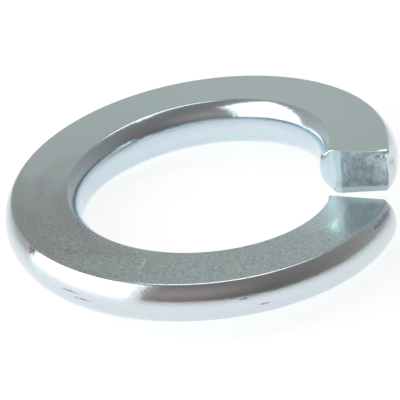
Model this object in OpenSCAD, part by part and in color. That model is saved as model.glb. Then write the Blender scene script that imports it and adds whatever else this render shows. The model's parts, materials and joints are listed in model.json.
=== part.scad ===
// Spring lock washer for a 20 mm bolt: one left-hand turn of spring steel bar, barrel-sided by coiling,
// sheared off at both ends so that the ends stand one thickness apart and bite when the nut is tightened.
// The axis of the bore is +Z and the split is at +X. The lower end lies on the -Y side of the split.

/* [Ring] */
// Outer diameter over the bulged rim
outer_d = 33.6; // [30:0.1:40]
// Bore diameter, at the narrow land that the winding arbor left
bore_d = 20.5; // [17:0.1:23]
// Thickness of the bar at the bore, where coiling squeezed it thicker
inner_t = 4.15; // [3.6:0.05:5]
// Thickness of the bar at the rim, where coiling stretched it thinner
outer_t = 3.55; // [3:0.05:4.4]

/* [Section] */
// How far the bore side stands out beyond the corners of the flats
inner_bulge = 1.1; // [0.5:0.05:1.3]
// How far the rim side stands out beyond the corners of the flats
outer_bulge = 0.75; // [0.4:0.05:1.1]
// Radius that breaks the corners between the flats and the bulged sides
corner_r = 0.3; // [0.1:0.05:0.5]
// Depth to which the arbor flattened the crest of the bore side
land_depth = 0.05; // [0.03:0.01:0.1]

/* [Helix] */
// How far one full turn climbs
coil_rise = 4.1; // [2:0.05:5.5]

/* [Cut ends] */
// Width of the split at the bore-side corners, where it is narrowest
split_w = 0.3; // [0.1:0.05:1]
// Angle at which the two cut faces open towards the rim
splay = 6.5; // [2:0.5:16]
// How deep the shear rolled over the bore side of the upper end, past its bulge and at mid thickness
bore_roll_depth = 0.35; // [0.1:0.05:0.7]
// Length of the bore side that is rolled over
bore_roll_len = 0.9; // [0.5:0.1:2]
// Lean of that roll-over, which is deeper at the top of the bar than at the bottom
bore_roll_lean = 8; // [0:0.5:10]
// How deep the shear rolled over the rim side of the lower end
rim_roll_depth = 0.35; // [0.1:0.05:0.7]
// Length of the rim side that is rolled over
rim_roll_len = 2; // [0.5:0.1:4]

/* [Hidden] */

// Facets along the plain part of the turn, in each rolled end, round each corner and over each bulge
turn_steps = 128;
roll_steps = 6;
corner_steps = 3;
bulge_steps = 10;
// Share of a bulge that stays at the end of a full roll-over
bulge_left = 0.12;
// Arc at each end over which the rings swing from radial to the angle of the cut face
swing = 24;
// Margin by which the bore cutter runs past both flats
past = 1;

bore_r = bore_d/2;
rim_r = outer_d/2;
crest_r = bore_r - land_depth;
inner_corner_r = crest_r + inner_bulge;
outer_corner_r = rim_r - outer_bulge;
// Slope of each flat, falling towards the rim
flat_slope = atan((inner_t - outer_t)/2/(outer_corner_r - inner_corner_r));
// Arc from the middle of the split to the bore-side corner of each end, and from end to end
half_split = asin(split_w/2/inner_corner_r);
turn = 360 - 2*half_split;
// Angle of each cut face from the radial plane through its bore-side corner
cut_tilt = splay/2 - half_split;
bore_roll_arc = bore_roll_len/bore_r*180/PI;
rim_roll_arc = rim_roll_len/rim_r*180/PI;

// One bulged side, as points from the upper flat to the lower one. x stands out from the corners of
// the flats and y is the height above the middle of the bar. lean is the upper flat's slope towards the side.
function bulged_side(half, bulge, lean) =
    let(
        big_r = (half*half + bulge*bulge)/(2*bulge),
        centre_x = bulge - big_r,
        foot_x = corner_r*sin(lean),
        foot_y = half - corner_r*cos(lean),
        along = (foot_x - centre_x)*cos(lean) + foot_y*sin(lean),
        across = foot_y*cos(lean) - (foot_x - centre_x)*sin(lean),
        reach = sqrt((big_r - corner_r)*(big_r - corner_r) - across*across) - along,
        corner_x = foot_x + reach*cos(lean),
        corner_y = foot_y + reach*sin(lean),
        meet = atan2(corner_y, corner_x - centre_x),
        upper = [
            for (i = [0:corner_steps])
                let(a = 90 + lean + (meet - 90 - lean)*i/corner_steps)
                [corner_x + corner_r*cos(a), corner_y + corner_r*sin(a)]
        ],
        crest = [
            for (i = [1:bulge_steps - 1])
                let(a = meet*(1 - 2*i/bulge_steps))
                [centre_x + big_r*cos(a), big_r*sin(a)]
        ],
        lower = [for (i = [corner_steps:-1:0]) [upper[i][0], -upper[i][1]]]
    )
    concat(upper, crest, lower);

// The bar's section as [radius, height] points, clockwise from the rim's upper corner. Each roll goes
// from 0 to 1 as that side rolls over.
function bar_section(rim_roll, bore_roll) =
    let(
        rim = bulged_side(outer_t/2, outer_bulge, -flat_slope),
        bore = bulged_side(inner_t/2, inner_bulge*(1 - (1 - bulge_left)*bore_roll), flat_slope),
        last = len(bore) - 1
    )
    concat(
        [for (p = rim) [outer_corner_r - rim_roll_depth*rim_roll + p[0], p[1]]],
        [
            for (i = [last:-1:0])
                let(depth = bore_roll_depth + bore[i][1]*tan(bore_roll_lean))
                [inner_corner_r + depth*bore_roll - bore[i][0], bore[i][1]]
        ]
    );

// Roll-over at an angle from a cut, along a quarter of an ellipse that meets the cut face at 1
function roll_at(from_cut, arc) = from_cut < arc ? 1 - sqrt(1 - pow(1 - from_cut/arc, 2)) : 0;

// Angle of a ring from the radial plane, so that the first and last rings lie in the cut faces
function tilt_at(angle) =
    angle < swing ? -cut_tilt*(1 - angle/swing)
    : turn - angle < swing ? cut_tilt*(1 - (turn - angle)/swing)
    : 0;

// Angle by which a tilted ring's point at a radius lags the bore-side corner, about which it swings
function lag(radius, tilt) = tilt - asin(inner_corner_r*sin(tilt)/radius);

// A section point of the ring at an angle from the lower cut, set on the helix
function on_helix(point, angle) =
    let(
        late = lag(point[0], tilt_at(angle)),
        around = late - half_split - angle
    )
    [point[0]*cos(around), point[0]*sin(around), point[1] + coil_rise*(angle - late)/360];

// Angles of the rings: close together in both rolled ends, even between them
lower_angles = [for (i = [0:roll_steps - 1]) rim_roll_arc*(1 - cos(90*i/roll_steps))];
plain_angles = [for (i = [0:turn_steps]) rim_roll_arc + (turn - rim_roll_arc - bore_roll_arc)*i/turn_steps];
upper_angles = [for (i = [roll_steps - 1:-1:0]) turn - bore_roll_arc*(1 - cos(90*i/roll_steps))];
ring_angles = concat(lower_angles, plain_angles, upper_angles);

rings = [
    for (angle = ring_angles)
        let(section = bar_section(roll_at(angle, rim_roll_arc), roll_at(turn - angle, bore_roll_arc)))
        [for (p = section) on_helix(p, angle)]
];
ring_count = len(rings);
ring_size = len(rings[0]);
points = [for (ring = rings) each ring];
lowest = min([for (p = points) p[2]]);
highest = max([for (p = points) p[2]]);

side_faces = [
    for (i = [0:ring_count - 2], j = [0:ring_size - 1])
        let(
            a = i*ring_size + j,
            b = i*ring_size + (j + 1)%ring_size,
            c = b + ring_size,
            d = a + ring_size
        )
        each [[a, b, c], [a, c, d]]
];
lower_cut = [for (j = [ring_size - 1:-1:0]) j];
upper_cut = [for (j = [0:ring_size - 1]) (ring_count - 1)*ring_size + j];

module spring_lock_washer() {
    color([0.66, 0.69, 0.69])
        translate([0, 0, -lowest])
            difference() {
                polyhedron(points = points, faces = concat(side_faces, [lower_cut, upper_cut]));
                translate([0, 0, lowest - past])
                    cylinder(r = bore_r, h = highest - lowest + 2*past, $fn = 240);
            }
}

spring_lock_washer();
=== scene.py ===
"""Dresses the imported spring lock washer: a finely swept bar, sheared ends, bright zinc and a small studio."""
import json
import logging
import math
from dataclasses import dataclass, field
from enum import Enum

import bpy
import numpy as np
from mathutils import Matrix, Vector, noise


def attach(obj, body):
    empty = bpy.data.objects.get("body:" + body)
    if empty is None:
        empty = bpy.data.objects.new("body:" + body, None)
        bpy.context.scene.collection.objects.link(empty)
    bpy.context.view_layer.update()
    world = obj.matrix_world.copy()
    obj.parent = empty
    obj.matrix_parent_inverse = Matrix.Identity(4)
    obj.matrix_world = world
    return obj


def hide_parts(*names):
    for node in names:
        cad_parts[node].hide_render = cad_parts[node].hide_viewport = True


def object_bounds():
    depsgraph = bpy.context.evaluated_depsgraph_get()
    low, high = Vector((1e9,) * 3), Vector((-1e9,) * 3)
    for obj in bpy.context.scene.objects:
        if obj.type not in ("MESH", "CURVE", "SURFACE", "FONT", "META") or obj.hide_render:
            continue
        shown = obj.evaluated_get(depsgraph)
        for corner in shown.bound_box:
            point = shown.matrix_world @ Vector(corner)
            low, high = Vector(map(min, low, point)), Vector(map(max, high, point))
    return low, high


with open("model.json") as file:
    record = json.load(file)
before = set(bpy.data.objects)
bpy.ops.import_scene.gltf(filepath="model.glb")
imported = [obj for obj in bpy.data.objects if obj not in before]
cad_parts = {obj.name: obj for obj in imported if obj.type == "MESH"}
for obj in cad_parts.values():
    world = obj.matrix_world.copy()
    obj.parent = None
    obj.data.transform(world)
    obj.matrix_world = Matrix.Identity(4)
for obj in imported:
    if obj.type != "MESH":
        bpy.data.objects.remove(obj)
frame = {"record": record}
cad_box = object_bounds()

log = logging.getLogger("spring_lock_washer")

NODE = "spring_lock_washer"
MM = 0.001
IMAGE_PX = 400
SENSOR_MM = 36.0
# Share of the bar's height above which a side is pressed as its head
HEAD_FROM = 0.72
# Range in which most of a noise texture's values lie
NOISE_LOW = 0.3
NOISE_HIGH = 0.7
Triple = tuple[float, float, float]
Colour = Triple
Socket = bpy.types.NodeSocket
Number = Socket | float
Paint = Socket | Colour


class End(Enum):
    """The two sheared ends of the bar, each with the side to which its cut faces along Y."""

    LOWER = 1.0
    UPPER = -1.0


class Zone(Enum):
    """Which finish a face of the washer takes, by its place in the mesh's material list."""

    BAR = 0
    SHEAR = 1


def unit(vector: np.ndarray) -> np.ndarray:
    """Returns the vectors, along the last axis, at length one."""
    return vector / np.linalg.norm(vector, axis=-1, keepdims=True)


def smooth_step(value: np.ndarray, low: float, high: float) -> np.ndarray:
    """Returns 0 below low, 1 above high and a smooth rise between them."""
    share = np.clip((value - low) / (high - low), 0.0, 1.0)
    return share * share * (3.0 - 2.0 * share)


def hump(value: np.ndarray, centre: float, width: float) -> np.ndarray:
    """Returns 1 at the centre, falling like a bell to about a third at width from it."""
    return np.exp(-(((value - centre) / width) ** 2))


def grain(points: np.ndarray, size: float, seed: float, octaves: int = 3) -> np.ndarray:
    """Fractal noise at each point.

    Args:
        points: Places in metres, one row each.
        size: Width of the largest grains, in metres.
        seed: Offset that sets this noise apart from others.
        octaves: How many finer layers are added.

    Returns:
        One value for each point, about -1 to 1.
    """
    shift = Vector((seed, 2.3 * seed, 3.1 * seed))
    return np.array([noise.fractal(Vector(p / size) + shift, 0.9, 2.0, octaves) for p in points])


@dataclass
class PressedSide:
    """How the shear has pressed one side of the bar in, at its lower corner, halfway up and at its top."""

    foot: float
    middle: float
    head: float
    bulge_left: float

    def depth(self, lift: np.ndarray) -> np.ndarray:
        """How far the side is pressed in, at heights from 0 at the foot to 1 at the head."""
        low = self.foot + (self.middle - self.foot) * smooth_step(lift, 0.0, 0.5)
        return low + (self.head - self.middle) * smooth_step(lift, HEAD_FROM, 1.0)


@dataclass
class BarSection:
    """Section of the bar: flats that fall towards the rim, and sides that coiling has bulged."""

    bore_r: float
    rim_r: float
    inner_t: float = 4.15 * MM
    outer_t: float = 3.55 * MM
    inner_bulge: float = 1.1 * MM
    outer_bulge: float = 0.75 * MM
    corner_r: float = 0.3 * MM
    land_depth: float = 0.05 * MM
    wear_reach: float = 3.0 * MM
    corner_steps: int = 6
    bulge_steps: int = 24
    flat_steps: int = 44

    @property
    def inner_corner_r(self) -> float:
        """Radius of the bore-side corners of the flats."""
        return self.bore_r - self.land_depth + self.inner_bulge

    @property
    def outer_corner_r(self) -> float:
        """Radius of the rim-side corners of the flats."""
        return self.rim_r - self.outer_bulge

    @property
    def flat_slope(self) -> float:
        """Slope of each flat, in radians."""
        width = self.outer_corner_r - self.inner_corner_r
        return math.atan((self.inner_t - self.outer_t) / 2 / width)

    @property
    def side_count(self) -> int:
        """Number of points on one bulged side."""
        return 2 * (self.corner_steps + 1) + self.bulge_steps - 1

    def bulged_side(self, half: float, bulge: float, lean: float) -> np.ndarray:
        """One bulged side with its two rounded corners.

        Args:
            half: Half of the bar's thickness at the corners of the flats.
            bulge: How far the side stands out beyond them.
            lean: Slope of the upper flat towards this side, in radians.

        Returns:
            Points from the upper flat to the lower one. The first column is the distance out from the
            corners of the flats, the second the height above the middle of the bar.
        """
        big_r = (half * half + bulge * bulge) / (2 * bulge)
        centre = bulge - big_r
        foot = np.array([self.corner_r * math.sin(lean), half - self.corner_r * math.cos(lean)])
        along = (foot[0] - centre) * math.cos(lean) + foot[1] * math.sin(lean)
        across = foot[1] * math.cos(lean) - (foot[0] - centre) * math.sin(lean)
        reach = math.sqrt((big_r - self.corner_r) ** 2 - across**2) - along
        corner = foot + reach * np.array([math.cos(lean), math.sin(lean)])
        meet = math.atan2(corner[1], corner[0] - centre)
        turn = np.linspace(math.pi / 2 + lean, meet, self.corner_steps + 1)
        upper = corner + self.corner_r * np.stack([np.cos(turn), np.sin(turn)], 1)
        sweep = meet * (1 - 2 * np.arange(1, self.bulge_steps) / self.bulge_steps)
        crest = np.stack([centre + big_r * np.cos(sweep), big_r * np.sin(sweep)], 1)
        return np.concatenate([upper, crest, upper[::-1] * (1, -1)])

    def flat(self, start: np.ndarray, stop: np.ndarray) -> np.ndarray:
        """Points between two corners, closer together near them."""
        share = (1 - np.cos(np.linspace(0, math.pi, self.flat_steps + 1)[1:-1])) / 2
        return start + share[:, None] * (stop - start)

    def outline(self, rim: PressedSide, bore: PressedSide) -> np.ndarray:
        """The whole section, clockwise from the rim's upper corner.

        Args:
            rim: How the rim side is pressed.
            bore: How the bore side is pressed.

        Returns:
            Radius and height above the middle of the bar, one row for each point.
        """
        outer = self.bulged_side(self.outer_t / 2, self.outer_bulge * rim.bulge_left, -self.flat_slope)
        radius = self.outer_corner_r - rim.depth(0.5 + outer[:, 1] / self.outer_t) + outer[:, 0]
        outer = np.stack([np.minimum(radius, self.rim_r), outer[:, 1]], 1)
        inner = self.bulged_side(self.inner_t / 2, self.inner_bulge * bore.bulge_left, self.flat_slope)[::-1]
        worn = self.land_depth * bore.bulge_left * np.cos(math.tau * inner[:, 1] / self.wear_reach)
        radius = self.inner_corner_r + bore.depth(0.5 + inner[:, 1] / self.inner_t) - inner[:, 0] + worn
        inner = np.stack([np.maximum(radius, self.bore_r), inner[:, 1]], 1)
        return np.concatenate([outer, self.flat(outer[-1], inner[0]), inner, self.flat(inner[-1], outer[0])])

    def flatness(self) -> np.ndarray:
        """For each point of the outline, 1 on a flat and 0 on a bulged side, with a blend in the corners."""
        ramp = np.linspace(1, 0, self.corner_steps + 1)
        side = np.concatenate([ramp, np.zeros(self.bulge_steps - 1), ramp[::-1]])
        flat = np.ones(self.flat_steps - 1)
        return np.concatenate([side, flat, side, flat])

    def rows(self) -> list[tuple[int, int]]:
        """Pairs of points of the rim side and the bore side at like heights, from top to bottom."""
        last = 2 * self.side_count + self.flat_steps - 2
        return [(row, last - row) for row in range(self.side_count)]


@dataclass
class SpringWasher:
    """One left-hand turn of the bar, sheared off at both ends."""

    section: BarSection
    top: float
    coil_rise: float = 4.1 * MM
    split_w: float = 0.3 * MM
    splay: float = math.radians(6.5)
    bore_roll: PressedSide = field(default_factory=lambda: PressedSide(0.2 * MM, 0.58 * MM, 0.3 * MM, 0.1))
    bore_roll_len: float = 0.9 * MM
    rim_round: PressedSide = field(default_factory=lambda: PressedSide(0.1 * MM, 0.0, 0.0, 0.2))
    rim_round_len: float = 0.8 * MM
    rim_swell: float = 0.32 * MM
    rim_swell_len: float = 3.4 * MM
    rim_roll: PressedSide = field(default_factory=lambda: PressedSide(0.35 * MM, 0.35 * MM, 0.35 * MM, 1.0))
    rim_roll_len: float = 2.0 * MM
    flare: PressedSide = field(default_factory=lambda: PressedSide(0.1 * MM, 0.0, -0.42 * MM, 0.2))
    flare_len: float = 1.2 * MM
    foot_turn: float = 0.12 * MM
    foot_len: float = 1.6 * MM
    burr_rise: float = 0.16 * MM
    burr_start: float = 14.6 * MM
    burr_stop: float = 16.4 * MM
    burr_drop: float = 0.15 * MM
    burr_back: float = 0.3 * MM
    pit_r: float = 15.8 * MM
    pit_height: float = 1.5 * MM
    pit_size: tuple[float, float] = (0.5 * MM, 0.17 * MM)
    pit_depth: float = 0.25 * MM
    pit_edge: float = 0.12 * MM
    burnish_r: float = 12.17 * MM
    burnish_lean: float = 0.06
    burnish_width: float = 0.9 * MM
    burnish_fall: float = 0.18 * MM
    burnish_len: float = 1.2 * MM
    lip_height: float = 0.62 * MM
    lip_out: float = 0.12 * MM
    swing: float = math.radians(24)
    edge_break: float = 0.035 * MM
    torn_border: tuple[float, float] = (-0.1 * MM, 0.3 * MM)
    torn_foot: float = 0.3 * MM
    torn_edge: float = 0.25 * MM
    tear_size: float = 0.9 * MM
    tear_depth: float = 0.03 * MM
    tear_squeeze: float = 0.45
    grain_size: float = 0.26 * MM
    grain_depth: float = 0.028 * MM
    upper_seed: float = 3.7
    lower_seed: float = 9.1
    grain_seed: float = 5.0
    turn_steps: int = 340
    end_steps: int = 36
    end_len: float = 2.2 * MM
    end_crowding: float = 1.6

    @property
    def half_split(self) -> float:
        """Angle from the middle of the split to the bore-side corner of each end."""
        return math.asin(self.split_w / 2 / self.section.inner_corner_r)

    @property
    def turn(self) -> float:
        """Angle from end to end."""
        return 2 * math.pi - 2 * self.half_split

    def ring_angles(self) -> np.ndarray:
        """Returns the rings' angles from the lower cut, closer together near both cuts."""
        reach = self.end_len / self.section.bore_r
        near = reach * (np.arange(self.end_steps) / self.end_steps) ** self.end_crowding
        middle = np.linspace(reach, self.turn - reach, self.turn_steps + 1)
        return np.concatenate([near, middle, self.turn - near[::-1]])

    @staticmethod
    def roll_at(from_cut: float, arc: float) -> float:
        """Roll-over at an angle from a cut, along a quarter of an ellipse that meets the cut at 1."""
        return 1 - math.sqrt(1 - (1 - from_cut / arc) ** 2) if from_cut < arc else 0.0

    @staticmethod
    def swell_at(from_cut: float, arc: float) -> float:
        """Swelling at an angle from a cut, along half a parabola that meets the cut at 1."""
        return (1 - from_cut / arc) ** 2 if from_cut < arc else 0.0

    @staticmethod
    def pressed(full: PressedSide, share: float) -> PressedSide:
        """A side that is pressed by a share of its full depth at the cut."""
        left = 1 - share * (1 - full.bulge_left)
        return PressedSide(full.foot * share, full.middle * share, full.head * share, left)

    def tilt_at(self, angle: float) -> float:
        """Angle of a ring from the radial plane."""
        cut_tilt = self.splay / 2 - self.half_split
        if angle < self.swing:
            return -cut_tilt * (1 - angle / self.swing)
        if self.turn - angle < self.swing:
            return cut_tilt * (1 - (self.turn - angle) / self.swing)
        return 0.0

    def pressed_outline(self, angle: float) -> np.ndarray:
        """The bar's section at an angle from the lower cut, as the shears left it.

        The upper end is rolled over on the bore side and rounded on the rim side. The lower end is
        rolled over on the rim side and flared on the bore side.
        """
        bar = self.section
        left = self.turn - angle
        if left < angle:
            bore = self.pressed(self.bore_roll, self.roll_at(left, self.bore_roll_len / bar.bore_r))
            rim = self.pressed(self.rim_round, self.roll_at(left, self.rim_round_len / bar.rim_r))
            rim.head -= self.rim_swell * self.swell_at(left, self.rim_swell_len / bar.rim_r)
        else:
            bore = self.pressed(self.flare, self.swell_at(angle, self.flare_len / bar.bore_r))
            rim = self.pressed(self.rim_roll, self.roll_at(angle, self.rim_roll_len / bar.rim_r))
        outline = bar.outline(rim, bore)
        radius, height = outline.T
        outward = (radius - bar.inner_corner_r) / (bar.outer_corner_r - bar.inner_corner_r)
        depth = np.clip(-2 * height / bar.outer_t, 0, 1)
        foot = self.foot_turn * self.swell_at(left, self.foot_len / bar.bore_r) * depth * (1 - 2 * outward)
        burr = np.clip((radius - self.burr_start) / (self.burr_stop - self.burr_start), 0, 1)
        burr *= 1 - smooth_step(radius, self.burr_stop, self.burr_stop + self.burr_drop)
        ridge = max(1 - abs(left * bar.rim_r / self.burr_back - 1), 0)
        burr *= np.clip(2 * height / bar.outer_t, 0, 1) * ridge
        return np.stack([radius, height + foot + self.burr_rise * burr], 1)

    def outline_at(self, angle: float) -> np.ndarray:
        """The pressed section with the edge round each cut broken, but for the rolled bore side."""
        bar = self.section
        outline = self.pressed_outline(angle)
        from_cut = min(angle, self.turn - angle) * bar.inner_corner_r
        if from_cut >= self.edge_break:
            return outline
        ahead, behind = np.roll(outline, -1, 0), np.roll(outline, 1, 0)
        inward = unit(ahead - behind + 1e-12)[:, ::-1] * (1, -1)
        share = 1 - from_cut / self.edge_break
        size = np.full(len(outline), self.edge_break)
        if angle > self.turn / 2:
            crease_r = bar.inner_corner_r + self.bore_roll.middle
            size *= smooth_step(outline[:, 0], crease_r, self.burnish_r + self.burnish_width)
        return outline + inward * (size * (1 - math.sqrt(1 - share * share)))[:, None]

    def set_back(self, place: np.ndarray) -> np.ndarray:
        """How far the upper cut lies behind its plane: more at the burnished bore side, less at the foot.

        Args:
            place: Radius and height above the middle of the bar, one row for each point.

        Returns:
            One distance for each point, in metres.
        """
        radius, height = place.T
        border = self.burnish_r + self.burnish_lean * height
        burnish = np.clip((border - radius) / self.burnish_width, 0, 1)
        lip = np.clip(1 - (height + self.section.inner_t / 2) / self.lip_height, 0, 1)
        return self.burnish_fall * burnish - self.lip_out * lip

    def on_helix(self, outline: np.ndarray, angle: float) -> np.ndarray:
        """Sets a section's points on the helix, in the plane that its ring has at this angle.

        Near the upper cut the points are also set back, as the cut is.
        """
        tilt = self.tilt_at(angle)
        radius, height = outline.T
        late = tilt - np.arcsin(self.section.inner_corner_r * math.sin(tilt) / radius)
        near = max(1 - (self.turn - angle) * self.section.inner_corner_r / self.burnish_len, 0.0)
        angles = angle - near * self.set_back(outline) / radius
        around = late - self.half_split - angles
        climb = self.coil_rise * (angles - late) / (2 * math.pi)
        return np.stack([radius * np.cos(around), radius * np.sin(around), height + climb], 1)

    def rings(self) -> tuple[np.ndarray, np.ndarray]:
        """The swept surface.

        Returns:
            The points, by ring and by place on the section, and for each its length along the bar, its
            radius and its height above the middle of the bar.
        """
        places, bar_places = [], []
        for angle in self.ring_angles():
            outline = self.outline_at(angle)
            places.append(self.on_helix(outline, angle))
            along = np.full(len(outline), angle * self.section.inner_corner_r)
            bar_places.append(np.column_stack([along, outline]))
        points = np.array(places)
        points[..., 2] -= points[..., 2].min()
        points[..., 2] = np.minimum(points[..., 2], self.top)
        return points, np.array(bar_places)

    def cut_relief(self, place: np.ndarray, edge: np.ndarray, end: End) -> np.ndarray:
        """Depth of the torn surface below the plane of a cut.

        Args:
            place: Radius and height above the middle of the bar, one row for each point.
            edge: Distance of each point from the edge of the cut.
            end: Which end it is.

        Returns:
            One depth for each point, in metres.
        """
        beyond = place[:, 0] - self.burnish_lean * place[:, 1] - self.burnish_r
        torn = smooth_step(beyond, *self.torn_border)
        foot = self.lip_height - self.section.inner_t / 2
        inside = smooth_step(edge, 0.0, self.torn_edge)
        torn *= smooth_step(place[:, 1], foot, foot + self.torn_foot) * inside
        flat = np.column_stack([place[:, 0], self.tear_squeeze * place[:, 1], np.zeros(len(place))])
        seed = self.upper_seed if end is End.UPPER else self.lower_seed
        coarse = grain(flat, self.tear_size, seed)
        fine = grain(flat, self.grain_size, seed + self.grain_seed)
        depth = torn * (self.tear_depth * coarse + self.grain_depth * fine)
        if end is End.UPPER:
            wide, tall = self.pit_size
            pit = hump(place[:, 0], self.pit_r, wide) * hump(place[:, 1], self.pit_height, tall)
            depth += self.pit_depth * pit * smooth_step(edge, 0.0, self.pit_edge)
        return depth

    def cut_face(self, ring: np.ndarray, place: np.ndarray, end: End) -> tuple[np.ndarray, np.ndarray, list]:
        """Fills one cut with rows of faces from the rim side to the bore side, and roughens them.

        Args:
            ring: The points of the end ring.
            place: Their length along the bar, radius and height.
            end: Which end it is.

        Returns:
            The inner points, their places on the bar, and the faces, whose numbers go on from the ring's.
        """
        bar, size = self.section, len(ring)
        middle = bar.side_count // 2
        chord = ring[middle] - ring[size // 2 + middle]
        outward = unit(np.array([-chord[1], chord[0], 0.0]))
        outward *= end.value * math.copysign(1, outward[1])
        upper = float(end is End.UPPER)
        plane = ring + outward * upper * self.set_back(place[:, 1:])[:, None]
        share = (1 - np.cos(np.linspace(0, math.pi, bar.flat_steps + 1)[1:-1]))[:, None] / 2
        pairs = bar.rows()
        inner, inner_place = [], []
        lines = [[pairs[0][0], *range(size - 1, pairs[0][1] - 1, -1)]]
        for rim, bore in pairs[1:-1]:
            first = size + len(inner)
            lines.append([rim, *range(first, first + bar.flat_steps - 1), bore])
            inner.extend(plane[rim] * (1 - share) + plane[bore] * share)
            inner_place.extend(place[rim] * (1 - share) + place[bore] * share)
        lines.append(list(range(pairs[-1][0], pairs[-1][1] + 1)))
        faces = [
            (above[i], above[i + 1], below[i + 1], below[i])
            for above, below in zip(lines, lines[1:])
            for i in range(bar.flat_steps)
        ]
        points, places = np.array(inner), np.array(inner_place)
        edge = np.array([np.min(np.linalg.norm(plane - p, axis=1)) for p in points])
        depth = self.cut_relief(places[:, 1:], edge, end) + upper * self.set_back(places[:, 1:])
        return points - outward * depth[:, None], places, faces

    def build(self) -> bpy.types.Object:
        """Makes the washer's mesh, with its material zones and the attributes that its finishes read."""
        rings, bar_places = self.rings()
        count, size = rings.shape[:2]
        index = np.arange(count * size).reshape(count, size)
        beside = np.roll(index, -1, 1)
        quads = np.stack([index[1:], beside[1:], beside[:-1], index[:-1]], -1).reshape(-1, 4)
        points, places = [rings.reshape(-1, 3)], [bar_places.reshape(-1, 3)]
        flat = [np.tile(self.section.flatness(), count)]
        faces = [tuple(quad) for quad in quads.tolist()]
        zones = [Zone.BAR.value] * len(faces)
        total = count * size
        for end, row in ((End.LOWER, 0), (End.UPPER, count - 1)):
            inner, inner_places, cut = self.cut_face(rings[row], bar_places[row], end)
            for face in cut:
                place = tuple(row * size + v if v < size else total + v - size for v in face)
                faces.append(place if end is End.UPPER else place[::-1])
            zones += [Zone.SHEAR.value] * len(cut)
            points.append(inner)
            places.append(inner_places)
            flat.append(np.zeros(len(inner)))
            total += len(inner)
        mesh = bpy.data.meshes.new(NODE)
        mesh.from_pydata(np.concatenate(points).tolist(), [], faces)
        mesh.polygons.foreach_set("material_index", zones)
        mesh.polygons.foreach_set("use_smooth", [True] * len(faces))
        bar_mm = mesh.attributes.new("bar_mm", "FLOAT_VECTOR", "POINT")
        bar_mm.data.foreach_set("vector", (np.concatenate(places) / MM).astype(np.float32).ravel())
        flatness = mesh.attributes.new("flatness", "FLOAT", "POINT")
        flatness.data.foreach_set("value", np.concatenate(flat).astype(np.float32))
        mesh.update()
        washer = bpy.data.objects.new("zinc_" + NODE, mesh)
        bpy.context.scene.collection.objects.link(washer)
        return washer


@dataclass(frozen=True)
class Stretch:
    """A stretch of the bar and how far both its ends blur, in mm along the bar."""

    start: float
    stop: float
    blur: float


class Graph:
    """A material's or world's node tree, with short ways to add to it."""

    def __init__(self, tree: bpy.types.NodeTree) -> None:
        """Starts from an empty tree."""
        self.tree = tree
        tree.nodes.clear()

    def node(self, kind: str, inputs: dict | None = None, **settings: object) -> bpy.types.Node:
        """Adds a node.

        Args:
            kind: The node's type, without the leading ShaderNode.
            inputs: Values or sockets by input name or number.
            **settings: The node's own properties.

        Returns:
            The new node.
        """
        made = self.tree.nodes.new("ShaderNode" + kind)
        for name, value in settings.items():
            setattr(made, name, value)
        for name, value in (inputs or {}).items():
            if isinstance(value, bpy.types.NodeSocket):
                self.tree.links.new(value, made.inputs[name])
            else:
                made.inputs[name].default_value = value
        return made

    def math(self, operation: str, *values: Number) -> Socket:
        """The result of a Math node on numbers or sockets."""
        return self.node("Math", dict(enumerate(values)), operation=operation).outputs[0]

    def ramp(self, value: Number, low: float, high: float, out_low: float, out_high: float) -> Socket:
        """A smooth change from out_low to out_high as value goes from low to high."""
        given = {"Value": value, "From Min": low, "From Max": high, "To Min": out_low, "To Max": out_high}
        return self.node("MapRange", given, interpolation_type="SMOOTHSTEP").outputs["Result"]

    def band(self, value: Number, on: Stretch) -> Socket:
        """1 where value lies on a stretch and 0 beyond it, with both edges blurred."""
        rise = self.ramp(value, on.start - on.blur, on.start + on.blur, 0, 1)
        return self.math("MULTIPLY", rise, self.ramp(value, on.stop - on.blur, on.stop + on.blur, 1, 0))

    def mix(self, factor: Number, first: Paint, second: Paint, blend: str = "MIX") -> Socket:
        """A colour between two by factor, or the first one with the second blended over it."""
        made = self.node("Mix", {0: factor}, data_type="RGBA", blend_type=blend)
        for slot, value in ((6, first), (7, second)):
            if isinstance(value, bpy.types.NodeSocket):
                self.tree.links.new(value, made.inputs[slot])
            else:
                made.inputs[slot].default_value = (*value, 1)
        return made.outputs[2]

    def noise(self, place: Socket, scale: Triple, detail: float) -> Socket:
        """Noise with its own number of grains per unit along each axis of place."""
        scaled = self.node("VectorMath", {0: place, 1: scale}, operation="MULTIPLY").outputs[0]
        return self.node("TexNoise", {"Vector": scaled, "Scale": 1.0, "Detail": detail}).outputs[0]

    def bump(self, height: Number, depth: float, under: Socket | None = None) -> Socket:
        """A bumped normal.

        Args:
            height: The relief, about 0 to 1.
            depth: Height in metres of a relief of 1.
            under: A normal that this one goes on top of.

        Returns:
            The normal.
        """
        given = {"Height": height, "Distance": depth, "Strength": 1.0}
        if under is not None:
            given["Normal"] = under
        return self.node("Bump", given).outputs[0]

    def metal(self, colour: Socket, rough: Number, normal: Socket) -> None:
        """Ends the tree in a metal surface."""
        given = {"Base Color": colour, "Roughness": rough, "Normal": normal, "Metallic": 1.0}
        shader = self.node("BsdfPrincipled", given)
        self.node("OutputMaterial", {"Surface": shader.outputs[0]})


@dataclass(frozen=True)
class Mark:
    """A small patch, streak, chip or scratch in the zinc's colour.

    Its middle and half size are given along the bar, in radius and in height, in mm.
    """

    middle: Triple
    half: Triple
    colour: Colour
    strength: float = 0.8


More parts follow.
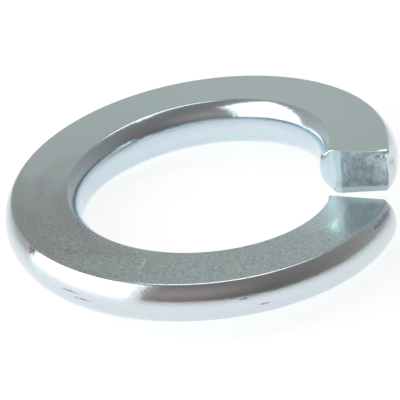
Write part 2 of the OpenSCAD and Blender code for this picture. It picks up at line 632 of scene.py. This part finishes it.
@dataclass(frozen=True)
class ZincOnBar:
    """Bright zinc on the flats and the bulged sides of the bar.

    Places and lengths on the bar are in mm, noise scales in grains per mm, depths of relief in metres.
    """

    name: str = "zinc_on_bar"
    flat: Colour = (0.655, 0.785, 0.80)
    # Darker colour of the flats on the dull stretch: a rougher finish, plus painted shade that dims their
    # reflection
    dull_and_shaded: Colour = (0.485, 0.515, 0.53)
    rim_side: Colour = (0.665, 0.735, 0.775)
    bore_side: Colour = (0.64, 0.75, 0.81)
    side_change: tuple[float, float] = (12.0, 15.0)
    # Stretch at the front left where the flats are rougher and painted darker as shade
    dull_and_shaded_on: Stretch = Stretch(22.0, 34.0, 5.0)
    worn_on: Stretch = Stretch(3.0, 30.0, 8.0)
    streaks_on: Stretch = Stretch(8.0, 22.0, 4.0)
    cloud_shift: float = 2.0
    cloud_scale: Triple = (0.3, 0.5, 0.5)
    speckle_scale: Triple = (5.0, 5.0, 5.0)
    line_scale: Triple = (0.6, 14.0, 14.0)
    pebble_scale: Triple = (2.2, 2.6, 2.6)
    stain_scale: Triple = (0.5, 0.9, 0.9)
    stain_share: float = 0.8
    unworn_share: float = 0.12
    spot_share: float = 0.5
    flat_pebbles: float = 0.15
    mark_fray: float = 0.4
    mark_fade: tuple[float, float] = (0.5, 1.1)
    flat_rough: float = 0.2
    dull_rough: float = 0.3
    side_rough: float = 0.16
    scuff_rough: float = 0.5
    scuff_len: float = 7.5
    scuff_len_fade: float = 2.0
    scuff_r: float = 13.6
    scuff_r_fade: float = 1.0
    pit: Colour = (0.30, 0.36, 0.37)
    shine: Colour = (0.82, 0.92, 0.94)
    lavender: Colour = (1.03, 0.98, 1.03)
    sea_green: Colour = (0.97, 1.02, 0.99)
    grain_depth: float = 0.0012 * MM
    line_depth: float = 0.0012 * MM
    pebble_depth: float = 0.010 * MM
    marks: tuple[Mark, ...] = (
        # Dark blue streak along the upper rim side near the lower end, below the upper end
        Mark(middle=(2.0, 16.5, 1.34), half=(1.8, 1.0, 0.2), colour=(0.30, 0.38, 0.66)),
        Mark(middle=(27.2, 16.3, 1.5), half=(0.5, 1.0, 0.28), colour=(0.20, 0.20, 0.17)),
        Mark(middle=(23.5, 16.8, 0.06), half=(0.75, 1.0, 0.09), colour=(0.24, 0.21, 0.20)),
        Mark(middle=(22.6, 16.8, -0.39), half=(0.6, 1.0, 0.08), colour=(0.24, 0.21, 0.20)),
        Mark(middle=(13.0, 16.8, 0.24), half=(0.35, 1.0, 0.10), colour=(0.30, 0.28, 0.27)),
        Mark(middle=(11.9, 16.8, -0.59), half=(0.5, 1.0, 0.08), colour=(0.30, 0.28, 0.27)),
        Mark(middle=(19.5, 13.1, 2.0), half=(0.16, 0.8, 1.0), colour=(0.92, 0.97, 0.98)),
    )

    def material(self) -> bpy.types.Material:
        """Builds the material."""
        made = bpy.data.materials.new(self.name)
        made.use_nodes = True
        graph = Graph(made.node_tree)
        place = graph.node("Attribute", attribute_name="bar_mm").outputs["Vector"]
        parts = graph.node("SeparateXYZ", {0: place}).outputs
        flat = graph.node("Attribute", attribute_name="flatness").outputs["Fac"]
        cloud = graph.noise(place, self.cloud_scale, 3)
        speckle = graph.noise(place, self.speckle_scale, 3)
        lines = graph.noise(place, self.line_scale, 2)
        pebbles = graph.noise(place, self.pebble_scale, 2)
        shift = graph.ramp(cloud, NOISE_LOW, NOISE_HIGH, -self.cloud_shift, self.cloud_shift)
        along = graph.math("ADD", parts["X"], shift)
        # Mask of the flats on that stretch, for the rougher finish and the painted shade
        dull_and_shaded = graph.math("MULTIPLY", flat, graph.band(along, self.dull_and_shaded_on))
        worn = graph.math("MULTIPLY", flat, graph.band(along, self.worn_on))
        side = graph.mix(graph.ramp(parts["Y"], *self.side_change, 0, 1), self.bore_side, self.rim_side)
        colour = graph.mix(flat, side, self.flat)
        # Painted shade: darkens the flats on that stretch
        colour = graph.mix(dull_and_shaded, colour, self.dull_and_shaded)
        stain = graph.noise(place, self.stain_scale, 2)
        tint = graph.mix(graph.ramp(stain, 0.4, 0.6, 0, 1), self.lavender, self.sea_green)
        colour = graph.mix(self.stain_share, colour, tint, "MULTIPLY")
        amount = graph.ramp(worn, 0, 1, self.unworn_share, 1)
        fleck = graph.math("MULTIPLY", graph.ramp(speckle, 0.3, 0.55, self.spot_share, 0), amount)
        colour = graph.mix(fleck, colour, self.pit)
        glint = graph.math("MULTIPLY", graph.ramp(speckle, 0.5, 0.7, 0, self.spot_share), amount)
        colour = graph.mix(glint, colour, self.shine)
        streak = graph.ramp(lines, 0.58, 0.75, 0, self.spot_share)
        streak = graph.math("MULTIPLY", streak, graph.band(along, self.streaks_on))
        colour = graph.mix(graph.math("MULTIPLY", streak, flat), colour, self.shine)
        fray = graph.ramp(speckle, NOISE_LOW, NOISE_HIGH, self.mark_fray, -self.mark_fray)
        for mark in self.marks:
            away = graph.node("VectorMath", {0: place, 1: mark.middle}, operation="SUBTRACT").outputs[0]
            away = graph.node("VectorMath", {0: away, 1: mark.half}, operation="DIVIDE").outputs[0]
            away = graph.node("VectorMath", {0: away}, operation="LENGTH").outputs["Value"]
            away = graph.math("ADD", away, fray)
            colour = graph.mix(graph.ramp(away, *self.mark_fade, mark.strength, 0), colour, mark.colour)
        rough = graph.ramp(flat, 0, 1, self.side_rough, self.flat_rough)
        rough = graph.math("ADD", rough, graph.math("MULTIPLY", dull_and_shaded, self.dull_rough - self.flat_rough))
        scuff = graph.ramp(parts["X"], self.scuff_len - self.scuff_len_fade, self.scuff_len, 1, 0)
        across = graph.ramp(parts["Y"], self.scuff_r - self.scuff_r_fade, self.scuff_r, 1, 0)
        scuff = graph.math("MULTIPLY", scuff, across)
        scuff = graph.math("MULTIPLY", scuff, flat)
        rough = graph.math("MULTIPLY_ADD", scuff, self.scuff_rough - self.flat_rough, rough)
        relief = graph.bump(speckle, self.grain_depth)
        relief = graph.bump(graph.math("MULTIPLY", lines, flat), self.line_depth, relief)
        uneven = graph.math("MULTIPLY", pebbles, graph.ramp(flat, 0, 1, 1, self.flat_pebbles))
        graph.metal(colour, rough, graph.bump(uneven, self.pebble_depth, relief))
        return made


@dataclass(frozen=True)
class ZincOnShear:
    """Zinc over a sheared end, burnished beside the bore and along the foot and torn elsewhere.

    Places and lengths on the cut are in mm, noise scales in grains per mm, the grain's depth in metres.
    """

    name: str = "zinc_on_shear"
    burnished: Colour = (0.64, 0.80, 0.84)
    foot: Colour = (0.82, 0.98, 1.0)
    torn_light: Colour = (0.79, 0.97, 1.0)
    torn_dark: Colour = (0.49, 0.61, 0.72)
    burnish_r: float = 12.19
    burnish_lean: float = 0.06
    foot_height: float = -1.42
    border_blur: float = 0.1
    border_wander: float = 0.08
    coarse_scale: Triple = (1.2, 1.2, 1.0)
    coarse_share: float = 0.55
    fine_scale: Triple = (7.0, 7.0, 5.5)
    fine_share: float = 0.45
    burnish_rough: float = 0.36
    foot_rough: float = 0.6
    torn_rough: float = 0.42
    grain_depth: float = 0.012 * MM

    def material(self) -> bpy.types.Material:
        """Builds the material."""
        made = bpy.data.materials.new(self.name)
        made.use_nodes = True
        graph = Graph(made.node_tree)
        place = graph.node("Attribute", attribute_name="bar_mm").outputs["Vector"]
        parts = graph.node("SeparateXYZ", {0: place}).outputs
        coarse = graph.noise(place, self.coarse_scale, 3)
        fine = graph.noise(place, self.fine_scale, 4)
        wander = graph.ramp(fine, NOISE_LOW, NOISE_HIGH, -self.border_wander, self.border_wander)
        radius, height = (graph.math("ADD", parts[axis], wander) for axis in ("Y", "Z"))
        radius = graph.math("MULTIPLY_ADD", height, -self.burnish_lean, radius)
        blur = self.border_blur
        torn = graph.ramp(radius, self.burnish_r - blur, self.burnish_r + blur, 0, 1)
        foot = graph.ramp(height, self.foot_height - blur, self.foot_height + blur, 0, 1)
        torn = graph.math("MULTIPLY", torn, foot)
        coarse = graph.math("MULTIPLY", coarse, self.coarse_share)
        grains = graph.math("ADD", coarse, graph.math("MULTIPLY", fine, self.fine_share))
        colour = graph.mix(graph.ramp(grains, 0.4, 0.6, 0, 1), self.torn_dark, self.torn_light)
        colour = graph.mix(torn, graph.mix(foot, self.foot, self.burnished), colour)
        rough = graph.ramp(torn, 0, 1, 0, self.torn_rough - self.burnish_rough)
        rough = graph.math("ADD", rough, graph.ramp(foot, 0, 1, self.foot_rough, self.burnish_rough))
        graph.metal(colour, rough, graph.bump(graph.math("MULTIPLY", fine, torn), self.grain_depth))
        return made


@dataclass(frozen=True)
class WhiteFloor:
    """A plain white acrylic sheet. Part of its white is its own, so that its shadow stays soft."""

    name: str = "white_floor"
    colour: Colour = (0.36, 0.365, 0.37)
    own_white: float = 0.81
    gloss: Colour = (0.9, 0.9, 0.9)
    gloss_rough: float = 0.08
    gloss_power: float = 5.0

    def material(self) -> bpy.types.Material:
        """Builds the material."""
        made = bpy.data.materials.new(self.name)
        made.use_nodes = True
        graph = Graph(made.node_tree)
        path = graph.node("LightPath").outputs
        seen = graph.math("MAXIMUM", path["Is Camera Ray"], path["Is Glossy Ray"])
        seen = graph.math("MAXIMUM", seen, path["Is Transmission Ray"])
        strength = graph.math("MULTIPLY", seen, self.own_white)
        sheet = graph.node("BsdfDiffuse", {"Color": (*self.colour, 1)}).outputs[0]
        glow = graph.node("Emission", {"Color": (1, 1, 1, 1), "Strength": strength}).outputs[0]
        body = graph.node("AddShader", {0: sheet, 1: glow}).outputs[0]
        skin = graph.node("BsdfGlossy", {"Color": (*self.gloss, 1), "Roughness": self.gloss_rough}).outputs[0]
        facing = graph.node("LayerWeight", {"Blend": 0.5}).outputs["Facing"]
        grazing = graph.math("POWER", facing, self.gloss_power)
        both = graph.node("MixShader", {0: grazing, 1: body, 2: skin}).outputs[0]
        graph.node("OutputMaterial", {"Surface": both})
        return made


@dataclass
class Floor:
    """The sheet that the washer lies on. It touches the lower end and the side across from it."""

    reach: float = 4.0
    finish: WhiteFloor = WhiteFloor()

    @staticmethod
    def rest_plane(points: np.ndarray, step: float = 0.05, finest: float = 1e-6) -> Triple:
        """The plane on which a body stands lowest.

        Args:
            points: The body's points.
            step: First change of slope that is tried.
            finest: Change of slope at which the search stops.

        Returns:
            The plane's height on the axis, and its slopes along X and Y.
        """
        slopes = np.zeros(2)
        height = np.min(points[:, 2])
        while step > finest:
            moves = [slopes + step * np.array([math.cos(a), math.sin(a)]) for a in np.arange(8) * math.pi / 4]
            heights = [np.min(points[:, 2] - points[:, :2] @ move) for move in moves]
            best = int(np.argmax(heights))
            if heights[best] > height:
                slopes, height = moves[best], heights[best]
            else:
                step /= 2
        return float(height), float(slopes[0]), float(slopes[1])

    def build(self, washer: bpy.types.Object) -> bpy.types.Object:
        """Lays the sheet under the washer."""
        points = np.empty(3 * len(washer.data.vertices))
        washer.data.vertices.foreach_get("co", points)
        height, slope_x, slope_y = self.rest_plane(points.reshape(-1, 3))
        corners = [(x * self.reach, y * self.reach) for x, y in ((-1, -1), (1, -1), (1, 1), (-1, 1))]
        mesh = bpy.data.meshes.new("floor")
        mesh.from_pydata([(x, y, height + slope_x * x + slope_y * y) for x, y in corners], [], [(0, 1, 2, 3)])
        mesh.materials.append(self.finish.material())
        floor = bpy.data.objects.new("floor", mesh)
        bpy.context.scene.collection.objects.link(floor)
        log.info("floor: %.2f mm under the axis, slopes %.4f and %.4f", height / MM, slope_x, slope_y)
        return floor


@dataclass
class Viewpoint:
    """The camera, at the photograph's viewing angle."""

    azimuth: float = math.radians(15.73)
    elevation: float = math.radians(28.85)
    roll: float = math.radians(-8.348)
    distance: float = 0.6
    focal_px: float = 7098.0
    axis_px: tuple[float, float] = (208.66, 238.37)
    clip_start: float = 0.01

    def directions(self) -> tuple[Vector, Vector, Vector]:
        """Returns the directions to the right, up and back of the picture."""
        sin_a, cos_a = math.sin(self.azimuth), math.cos(self.azimuth)
        sin_e, cos_e = math.sin(self.elevation), math.cos(self.elevation)
        back = Vector((sin_a * cos_e, -cos_a * cos_e, sin_e))
        right = Vector((cos_a, sin_a, 0))
        up = back.cross(right)
        turned = right * math.cos(self.roll) + up * math.sin(self.roll)
        return turned, back.cross(turned), back

    def place(self) -> bpy.types.Object:
        """Sets up the camera, turned so that the foot of the bore's axis falls on its pixel."""
        right, up, back = self.directions()
        scale = self.distance / self.focal_px
        half = IMAGE_PX / 2
        aim = -right * (self.axis_px[0] - half) * scale + up * (self.axis_px[1] - half) * scale
        eye = back * self.distance
        back = (eye - aim).normalized()
        right = (right - back * right.dot(back)).normalized()
        up = back.cross(right)
        lens = bpy.data.cameras.new("studio_camera")
        lens.sensor_width = SENSOR_MM
        lens.lens = self.focal_px * SENSOR_MM / IMAGE_PX
        lens.clip_start = self.clip_start
        camera = bpy.data.objects.new("studio_camera", lens)
        camera.matrix_world = Matrix.Translation(eye) @ Matrix((right, up, back)).transposed().to_4x4()
        bpy.context.scene.collection.objects.link(camera)
        bpy.context.scene.camera = camera
        return camera


@dataclass
class SoftBox:
    """A flat lamp that faces the washer. Bearings count from +Y towards +X, all angles are in degrees."""

    name: str
    bearing: float
    tilt: float
    centre: float
    width: float
    tall: float
    radiance: float
    distance: float = 0.6

    def place(self) -> bpy.types.Object:
        """Sets up the lamp, in a plane that leans back by its tilt."""
        bearing, tilt = math.radians(self.bearing), math.radians(self.tilt)
        flat = Vector((math.sin(bearing), math.cos(bearing), 0))
        away = flat * math.cos(tilt) + Vector((0, 0, math.sin(tilt)))
        upright = Vector((0, 0, math.cos(tilt))) - flat * math.sin(tilt)
        lamp = bpy.data.lights.new(self.name, "AREA")
        lamp.shape = "RECTANGLE"
        lamp.size = self.width
        lamp.size_y = self.tall
        lamp.energy = math.pi * self.width * self.tall * self.radiance
        made = bpy.data.objects.new(self.name, lamp)
        turn = Matrix((upright.cross(away), upright, away)).transposed().to_4x4()
        made.matrix_world = Matrix.Translation(away * self.distance + upright * self.centre) @ turn
        bpy.context.scene.collection.objects.link(made)
        return made


@dataclass(frozen=True)
class WarmGlow:
    """A warm patch on the room's wall: its bearing from +Y towards +X and its height, in degrees."""

    bearing: float
    height: float
    radiance: float
    power: float
    tint: Colour

    @property
    def side(self) -> Triple:
        """The direction in which the patch lies."""
        bearing, height = math.radians(self.bearing), math.radians(self.height)
        return math.sin(bearing) * math.cos(height), math.cos(bearing) * math.cos(height), math.sin(height)


@dataclass
class Room:
    """The grey room that the metal mirrors, as radiances: lighter on one side, plainer higher up."""

    base: float = 0.37
    base_fall: float = 0.12
    swing: float = 0.25
    swing_fall: float = 0.6
    light_side: Triple = (-0.42, 0.91, 0.0)
    light_tint: Colour = (1.0, 1.0, 0.97)
    dark_tint: Colour = (1.12, 1.0, 0.91)
    glows: tuple[WarmGlow, ...] = (
        WarmGlow(bearing=-172, height=20, radiance=0.13, power=14, tint=(1.37, 0.85, 0.85)),
        WarmGlow(bearing=160, height=25, radiance=0.11, power=12, tint=(1.06, 1.0, 0.98)),
    )

    def build(self) -> bpy.types.World:
        """Sets up the world."""
        made = bpy.data.worlds.new("grey_room")
        made.use_nodes = True
        graph = Graph(made.node_tree)
        toward = graph.node("TexCoord").outputs["Generated"]
        height = graph.math("MAXIMUM", graph.node("SeparateXYZ", {0: toward}).outputs["Z"], 0.0)
        side = self.toward(graph, toward, self.light_side)
        share = graph.math("MULTIPLY_ADD", height, -self.swing_fall * self.swing, self.swing)
        plain = graph.math("MULTIPLY_ADD", height, -self.base_fall, self.base)
        level = graph.math("MULTIPLY_ADD", side, share, plain)
        tint = graph.mix(graph.ramp(side, -1, 1, 0, 1), self.dark_tint, self.light_tint)
        wall = graph.node("Background", {"Color": tint, "Strength": level}).outputs[0]
        for glow in self.glows:
            near = graph.math("MAXIMUM", self.toward(graph, toward, glow.side), 0.0)
            level = graph.math("MULTIPLY", graph.math("POWER", near, glow.power), glow.radiance)
            patch = graph.node("Background", {"Color": (*glow.tint, 1), "Strength": level}).outputs[0]
            wall = graph.node("AddShader", {0: wall, 1: patch}).outputs[0]
        graph.node("OutputWorld", {"Surface": wall})
        bpy.context.scene.world = made
        return made

    @staticmethod
    def toward(graph: Graph, direction: Socket, side: Triple) -> Socket:
        """How far a direction points to one side, from -1 to 1."""
        return graph.node("VectorMath", {0: direction, 1: side}, operation="DOT_PRODUCT").outputs["Value"]


@dataclass
class Studio:
    """The floor, the lamps, the room that the metal mirrors, and the camera."""

    floor: Floor = field(default_factory=Floor)
    room: Room = field(default_factory=Room)
    view: Viewpoint = field(default_factory=Viewpoint)
    lamps: tuple[SoftBox, ...] = (
        SoftBox("side_softbox", bearing=-115, tilt=0, centre=0.462, width=0.79, tall=0.924, radiance=1.7),
        SoftBox("side_spill", bearing=-152, tilt=0, centre=0.40, width=0.075, tall=0.80, radiance=0.8),
        SoftBox("top_softbox", bearing=12, tilt=75, centre=0, width=0.40, tall=0.32, radiance=1.3),
    )

    def build(self, washer: bpy.types.Object) -> None:
        """Sets up everything around the washer."""
        self.floor.build(washer)
        for lamp in self.lamps:
            lamp.place()
        self.room.build()
        self.view.place()
        bpy.context.scene.view_settings.view_transform = "Standard"


def main() -> None:
    """Builds the washer and its studio, and reports each piece."""
    logging.basicConfig(level=logging.INFO, format="%(name)s: %(message)s")
    low, high = cad_box
    rim_r = min(-low.x, high.x, -low.y, high.y)
    bore_r = frame["record"]["mounts"][0]["dims"]["r_mm"] * MM
    washer = SpringWasher(BarSection(bore_r=bore_r, rim_r=rim_r), top=high.z).build()
    for finish in (ZincOnBar(), ZincOnShear()):
        washer.data.materials.append(finish.material())
    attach(washer, "root")
    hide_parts(NODE)
    log.info("%s: %d faces", washer.name, len(washer.data.polygons))
    Studio().build(washer)


if __name__ == "__main__":
    main()
